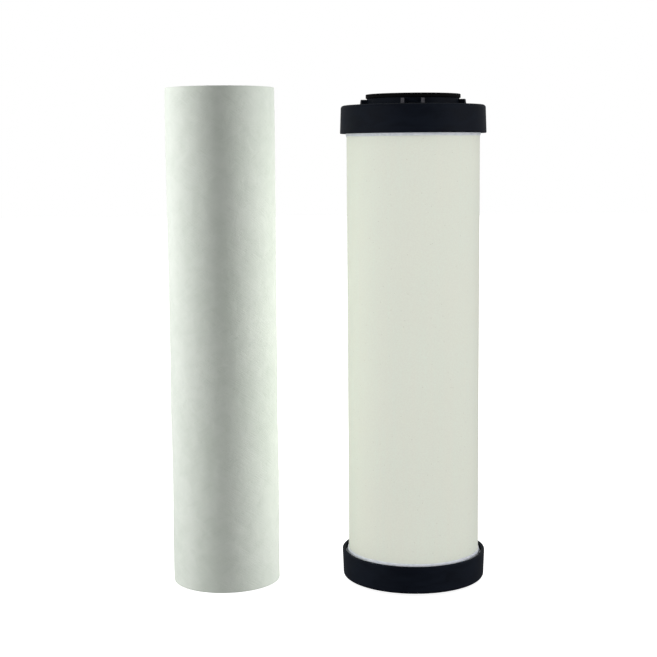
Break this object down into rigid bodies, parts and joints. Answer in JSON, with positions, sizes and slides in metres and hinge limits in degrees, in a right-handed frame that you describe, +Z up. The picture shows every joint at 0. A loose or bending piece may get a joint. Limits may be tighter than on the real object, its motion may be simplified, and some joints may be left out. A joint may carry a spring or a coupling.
{
  "type": "water filter cartridge pair",
  "caption": "Drop-in water filter cartridges side by side: a ceramic tube with black end caps, gasket and finned collar, and a plain melt-blown sediment tube.",
  "frame": {"origin": "on the ceramic cartridge's axis, in the plane of its lower sealing face, which is also the surface that both cartridges stand on", "axes": "+Z up along both cartridges' axes, towards the collared end of the ceramic one; +X from the sediment cartridge towards the ceramic one"},
  "size_m": [0.1613, 0.0736, 0.252],
  "materials": {
    "cap_plastic": "satin",
    "gasket_rubber": "matte",
    "adhesive": "satin",
    "ceramic": "matte",
    "fleece": "matte",
    "carbon": "matte",
    "core_plastic": "satin",
    "melt_blown_coarse": "matte",
    "melt_blown_fine": "matte"
  },
  "bodies": {
    "ceramic_cartridge": {"top_gasket": "gasket_rubber", "top_end_cap": "cap_plastic", "top_potting": "adhesive", "ceramic_shell": "ceramic", "prefilter_wrap": "fleece", "carbon_block": "carbon", "postfilter_sleeve": "fleece", "core_tube": "core_plastic", "bottom_potting": "adhesive", "bottom_end_cap": "cap_plastic", "bottom_gasket": "gasket_rubber"},
    "sediment_cartridge": {"outer_layer": "melt_blown_coarse", "middle_layer": "melt_blown_fine", "inner_layer": "melt_blown_fine", "sediment_core": "core_plastic"}
  },
  "joints": [
    {"name": "sediment_lift", "type": "slide", "parent": "ceramic_cartridge", "child": "sediment_cartridge", "axis": [0, 0, 1], "range_m": [0, 0.27]}
  ]
}
